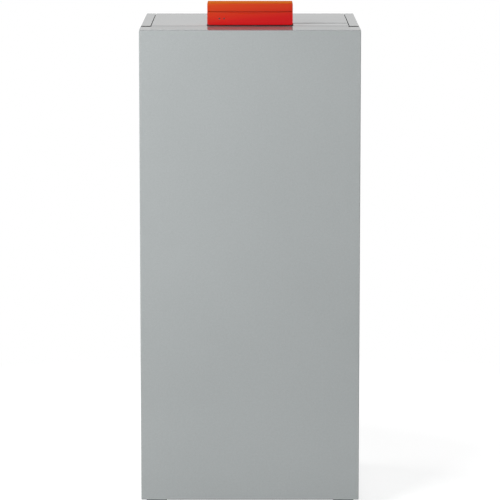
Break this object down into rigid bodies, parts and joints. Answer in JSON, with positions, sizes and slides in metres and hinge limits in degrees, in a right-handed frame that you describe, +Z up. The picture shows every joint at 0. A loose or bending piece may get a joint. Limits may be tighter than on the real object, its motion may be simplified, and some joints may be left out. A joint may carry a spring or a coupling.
{
  "type": "floor standing gas boiler",
  "caption": "Tall silver-grey sheet steel cabinet on levelling feet, with a red control unit with a hinged flap on top and a condensing gas boiler inside.",
  "frame": {"origin": "on the floor, under the middle of the outline", "axes": "+Z up, the front of the boiler faces -Y"},
  "size_m": [0.66, 0.8, 1.538],
  "materials": {
    "silver_paint": "satin powder coat",
    "red_plastic": "gloss moulded",
    "black_plastic": "matt moulded",
    "grey_plastic": "matt moulded",
    "galvanised_steel": "zinc coated",
    "black_steel": "satin paint",
    "stainless_steel": "rolled",
    "cast_aluminium": "as cast",
    "mineral_wool": "felted wool",
    "ceramic_fibre": "fibre board",
    "white_ceramic": "glazed",
    "brass": "machined",
    "gasket_rubber": "matt",
    "flue_plastic": "matt moulded",
    "clear_glass": "clear",
    "circuit_green": "lacquered",
    "knob_grey": "matt moulded",
    "gas_yellow": "painted"
  },
  "bodies": {
    "boiler": {"base_frame": "black_steel", "burner_door": "cast_aluminium", "burner_gauze": "stainless_steel", "circuit_board": "circuit_green", "combustion_chamber": "stainless_steel", "condensate_hose": "grey_plastic", "condensate_siphon": "grey_plastic", "control_base": "black_plastic", "control_fascia": "grey_plastic", "control_hood": "red_plastic", "control_shelf": "galvanised_steel", "display_window": "clear_glass", "door_gasket": "gasket_rubber", "door_insulation": "ceramic_fibre", "drain_valve_body": "brass", "fan_housing": "cast_aluminium", "fan_motor": "black_plastic", "fault_lamp": "clear_glass", "flow_connection": "black_steel", "flue_collar": "flue_plastic", "flue_gas_collector": "flue_plastic", "flue_test_plug": "black_plastic", "gas_air_mixer": "cast_aluminium", "gas_connection": "brass", "gas_pipe": "gas_yellow", "gas_valve": "cast_aluminium", "heat_exchanger": "stainless_steel", "hinge_pin_left": "galvanised_steel", "hinge_pin_right": "galvanised_steel", "ignition_electrode": "white_ceramic", "ignition_transformer": "black_plastic", "intake_silencer": "black_plastic", "ionisation_electrode": "white_ceramic", "mains_cable_gland": "black_plastic", "operation_lamp": "clear_glass", "rear_panel": "galvanised_steel", "return_connection": "black_steel", "safety_connection": "black_steel", "side_panel_left": "silver_paint", "side_panel_right": "silver_paint", "sight_glass": "brass", "temperature_sensor": "brass", "top_front_rail": "silver_paint", "vessel_insulation": "mineral_wool", "vessel_shell": "stainless_steel"},
    "flap": {"control_flap": "red_plastic"},
    "temperature_knob": {"temperature_knob": "knob_grey"},
    "mains_switch": {"mains_switch": "black_plastic"},
    "reset_button": {"reset_button": "knob_grey"},
    "left_button": {"left_button": "knob_grey"},
    "right_button": {"right_button": "knob_grey"},
    "fan_impeller": {"fan_impeller": "black_plastic"},
    "front_panel": {"front_panel": "silver_paint"},
    "top_cover": {"top_cover": "silver_paint"},
    "connection_cover": {"connection_cover": "silver_paint"},
    "drain_valve_knob": {"drain_valve_knob": "red_plastic"},
    "foot_front_left": {"levelling_foot_front_left": "galvanised_steel"},
    "foot_front_right": {"levelling_foot_front_right": "galvanised_steel"},
    "foot_rear_left": {"levelling_foot_rear_left": "galvanised_steel"},
    "foot_rear_right": {"levelling_foot_rear_right": "galvanised_steel"}
  },
  "joints": [
    {"name": "flap_hinge", "type": "hinge", "parent": "boiler", "child": "flap", "pos_m": [0, -0.2585, 1.4745], "axis": [1, 0, 0], "range_deg": [0, 90]},
    {"name": "temperature_knob_turn", "type": "hinge", "parent": "boiler", "child": "temperature_knob", "pos_m": [0.098, -0.2375, 1.4895], "axis": [0, -1, 0], "range_deg": [-135, 135]},
    {"name": "mains_switch_rock", "type": "hinge", "parent": "boiler", "child": "mains_switch", "pos_m": [-0.11, -0.236, 1.4895], "axis": [1, 0, 0], "range_deg": [0, 8]},
    {"name": "reset_button_press", "type": "slide", "parent": "boiler", "child": "reset_button", "axis": [0, 1, 0], "range_m": [0, 0.0015], "stiffness_N_per_m": 500},
    {"name": "left_button_press", "type": "slide", "parent": "boiler", "child": "left_button", "axis": [0, 1, 0], "range_m": [0, 0.0015], "stiffness_N_per_m": 500},
    {"name": "right_button_press", "type": "slide", "parent": "boiler", "child": "right_button", "axis": [0, 1, 0], "range_m": [0, 0.0015], "stiffness_N_per_m": 500},
    {"name": "fan_spin", "type": "hinge", "parent": "boiler", "child": "fan_impeller", "pos_m": [-0.038, -0.333, 1.0025], "axis": [0, 0, 1], "continuous": true},
    {"name": "front_panel_pull", "type": "slide", "parent": "boiler", "child": "front_panel", "axis": [0, -1, 0], "range_m": [0, 0.35]},
    {"name": "top_cover_lift", "type": "slide", "parent": "boiler", "child": "top_cover", "axis": [0, 0, 1], "range_m": [0, 0.25]},
    {"name": "connection_cover_lift", "type": "slide", "parent": "boiler", "child": "connection_cover", "axis": [0, 0, 1], "range_m": [0, 0.15]},
    {"name": "drain_knob_turn", "type": "hinge", "parent": "boiler", "child": "drain_valve_knob", "pos_m": [0.13, -0.285, 0.3], "axis": [0, 0, 1], "range_deg": [0, 90]},
    {"name": "foot_front_left_screw", "type": "slide", "parent": "boiler", "child": "foot_front_left", "axis": [0, 0, -1], "range_m": [0, 0.015]},
    {"name": "foot_front_right_screw", "type": "slide", "parent": "boiler", "child": "foot_front_right", "axis": [0, 0, -1], "range_m": [0, 0.015]},
    {"name": "foot_rear_left_screw", "type": "slide", "parent": "boiler", "child": "foot_rear_left", "axis": [0, 0, -1], "range_m": [0, 0.015]},
    {"name": "foot_rear_right_screw", "type": "slide", "parent": "boiler", "child": "foot_rear_right", "axis": [0, 0, -1], "range_m": [0, 0.015]}
  ]
}
